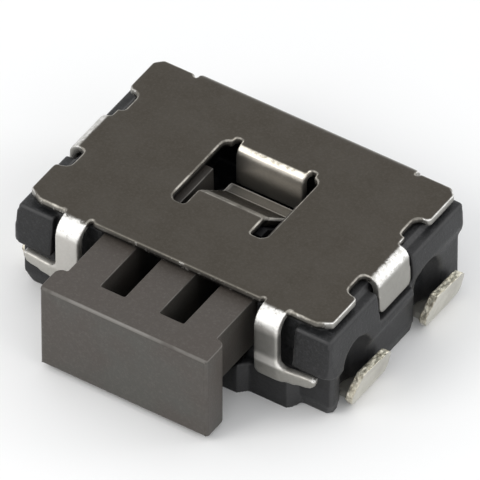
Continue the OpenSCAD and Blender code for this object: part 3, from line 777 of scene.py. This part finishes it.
def body_finish():
    resin = Finish("black_glass_resin", metallic=0.0, roughness=0.5, specular=0.42)
    x, y, z = resin.place()
    faces_front = resin.spread(resin.facing()[1], -0.5, -0.85)
    under_cover_shade = resin.both(resin.past(resin.math("ABSOLUTE", x), *HIDDEN_SIDE), resin.band(y, *HIDDEN_DEPTH),
                        resin.past(z, *HIDDEN_BELOW))
    fine = resin.grain(0.04, rough=0.75)
    resin.ground(resin.blend(resin.spread(resin.grain(0.5), 0.3, 0.7), *BODY_BLACK))
    resin.coat(resin.spread(fine, 0.5, 0.72, 0.0, 0.75), FIBRE)
    resin.coat(faces_front, resin.blend(resin.spread(fine, 0.4, 0.7), *ERODED), strength=0.75)
    # painted highlight on the rounded edges
    resin.coat(resin.edges(), EDGE_HIGHLIGHT_BLACK)
    # painted shade under the cover
    resin.coat(under_cover_shade, UNDER_COVER_SHADE_BLACK)
    resin.set("Roughness", resin.spread(fine, 0.25, 0.75, 0.4, 0.62))
    resin.relief(resin.grain(0.05, detail=4.0, rough=0.72), 0.007)
    return resin


dress("housing", body_finish())

# %% [markdown]
# ## Push button
# The button is dark grey resin with a satin face. Its grain is finer and shallower than the body's.
# Its rounded edges get patches of painted highlight, lighter and glossier, most of all along its front edge
# left of the middle.
# The patches could be painted by hand. Here they are large noise, kept to the rounded edges.
# Its top is painted a little darker than its front as painted shade, and the stem gets painted shade under
# the cover and in its channel.

# %% Button finish
BUTTON_GREY = (0.062, 0.053, 0.046), (0.064, 0.062, 0.055)
BUTTON_TOP_SHADE, BUTTON_SPECK = (0.058, 0.048, 0.041), (0.11, 0.1, 0.09)
STEM_SHADE, EDGE_HIGHLIGHT_GREY = (0.012, 0.01, 0.008), (0.16, 0.15, 0.137)
STEM_INSIDE, STEM_FLANK = (-1.5, -1.35), (-2.25, -2.15)
EDGE_HIGHLIGHT_PLACE = (-0.75, 0.3, 0.3)
FRONT_EDGE = (push_face + 0.15, push_face + 0.1)


def button_finish():
    resin = Finish("dark_grey_resin", metallic=0.0, roughness=0.48, specular=0.4)
    x, y, _ = resin.place()
    nz = resin.facing()[2]
    resin.ground(resin.blend(resin.spread(resin.grain(0.8, detail=2.0), 0.3, 0.7), *BUTTON_GREY))
    # painted shade: the top is a little darker than the front
    resin.coat(resin.spread(nz, 0.5, 0.9), BUTTON_TOP_SHADE, strength=0.8)
    resin.coat(resin.spread(resin.grain(0.035, rough=0.7), 0.45, 0.75, 0.0, 0.45), BUTTON_SPECK)
    # painted shade on the stem under the cover and in its channel
    stem_shade_under_cover = resin.both(resin.past(y, *STEM_INSIDE), 0.7)
    stem_shade_in_channel = resin.both(resin.past(y, *STEM_FLANK), resin.spread(nz, 0.5, 0.2), 0.45)
    resin.coat(resin.either(stem_shade_under_cover, stem_shade_in_channel), STEM_SHADE)
    # painted highlight in patches on the rounded edges, strongest along the front edge
    much = resin.both(resin.band(x, *EDGE_HIGHLIGHT_PLACE), resin.past(y, *FRONT_EDGE))
    patches = resin.either(resin.spread(resin.grain(0.4, detail=2.0), 0.4, 0.56, 0.15, 0.6), much)
    edge_highlight = resin.both(resin.edges(), resin.spread(nz, 0.1, 0.5, 0.3, 1.0), patches)
    resin.coat(edge_highlight, EDGE_HIGHLIGHT_GREY)
    resin.set("Roughness", resin.spread(edge_highlight, 0.0, 1.0, 0.5, 0.34))
    resin.relief(resin.grain(0.045, detail=4.0, rough=0.65), 0.0035)
    return resin


dress("push_button", button_finish())

# %% [markdown]
# ## Pusher
# The pusher is a small wedge under the tongue. It is moulded in a plain black resin that slides well.
# One flat black could do, but beside grained pieces it would look like a hole.
# It is hardly seen, through the window's slots, so it needs only an even black with the faintest grain.

# %% Pusher finish
PUSHER_BLACK = (0.006, 0.006, 0.007), (0.011, 0.011, 0.012)


def pusher_finish():
    resin = Finish("black_pusher_resin", metallic=0.0, roughness=0.5, specular=0.15)
    resin.ground(resin.blend(resin.grain(0.1), *PUSHER_BLACK))
    resin.relief(resin.grain(0.05), 0.0015)
    return resin


dress("pusher", pusher_finish())

# %% [markdown]
# ## Plated terminals
# The contact frames are stamped from plated strip. Their faces are pale and dull. Their cut edges, which the
# torn-edges step made uneven, have lost their plating: they are cream on top, and browner at the ends, where
# painted shade darkens them.
# Each frame could have a finish of its own, but both come off one strip, so they share one.

# %% Terminal finish
PLATED = (0.52, 0.505, 0.455), (0.62, 0.605, 0.55)
TORN_CREAM = (0.56, 0.52, 0.4), (0.95, 0.92, 0.78)
SHADED_TORN_BRASS = (0.42, 0.385, 0.3), (0.75, 0.71, 0.6)
TOP_ABOVE, END_ABOVE = (0.3, 0.38), (0.1, 0.2)
FACES_AWAY = (0.5, 0.8)


def terminal_finish():
    plate = Finish("dull_plated_strip", metallic=0.8, roughness=0.42)
    z = plate.place()[2]
    _, ny, nz = plate.facing()
    lumps = plate.grain(0.07, detail=4.0, rough=0.75)
    torn = plate.spread(lumps, 0.35, 0.62)
    top = plate.both(plate.spread(nz, *FACES_AWAY), plate.past(z, *TOP_ABOVE))
    end = plate.both(plate.spread(plate.math("ABSOLUTE", ny), *FACES_AWAY), plate.past(z, *END_ABOVE))
    plate.ground(plate.blend(plate.spread(plate.grain(0.25, detail=4.0), 0.3, 0.7), *PLATED))
    # bare metal at the cut ends, darkened with painted shade
    plate.coat(end, plate.blend(torn, *SHADED_TORN_BRASS))
    plate.coat(top, plate.blend(torn, *TORN_CREAM))
    plate.set("Roughness", plate.spread(plate.grain(0.1, detail=4.0), 0.2, 0.8, 0.34, 0.5))
    rough = plate.spread(plate.either(top, end), 0.0, 1.0, 0.25, 1.0)
    plate.relief(plate.both(lumps, rough), 0.016)
    return plate


plated_strip = terminal_finish()
for name in ("front_contact", "rear_contact"):
    dress(name, plated_strip)

# %% [markdown]
# ## Snap dome
# The dome is a pressed disc of bright spring steel on the floor of the body.
# Its polish could be given rings, as if turned, but it lies almost in the dark.
# A plain metal with a slightly cloudy polish is enough.

# %% Dome finish
SPRING_STEEL = (0.6, 0.6, 0.58), (0.68, 0.68, 0.66)


def dome_finish():
    spring = Finish("bright_spring_steel", metallic=1.0, roughness=0.3)
    spring.ground(spring.blend(spring.grain(0.2), *SPRING_STEEL))
    spring.set("Roughness", spring.spread(spring.grain(0.05), 0.3, 0.7, 0.25, 0.4))
    return spring


dress("snap_dome", dome_finish())

# %% [markdown]
# ## Final size
# A finished piece must still be the size that it was drawn, or it wouldn't fit its neighbours.
# It could be measured by eye in the viewport, but a step of a hundredth of a millimetre doesn't show.
# So the box of the dressed part is kept beside the CAD's own box, and a piece that grew would show at once.

# %% Compare the boxes and finish
look_low, look_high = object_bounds()
growth = [(a - b) / MM for a, b in zip((*look_low, *look_high), (*cad_low, *cad_high))]
print("grown by mm:", [round(v, 4) for v in growth])
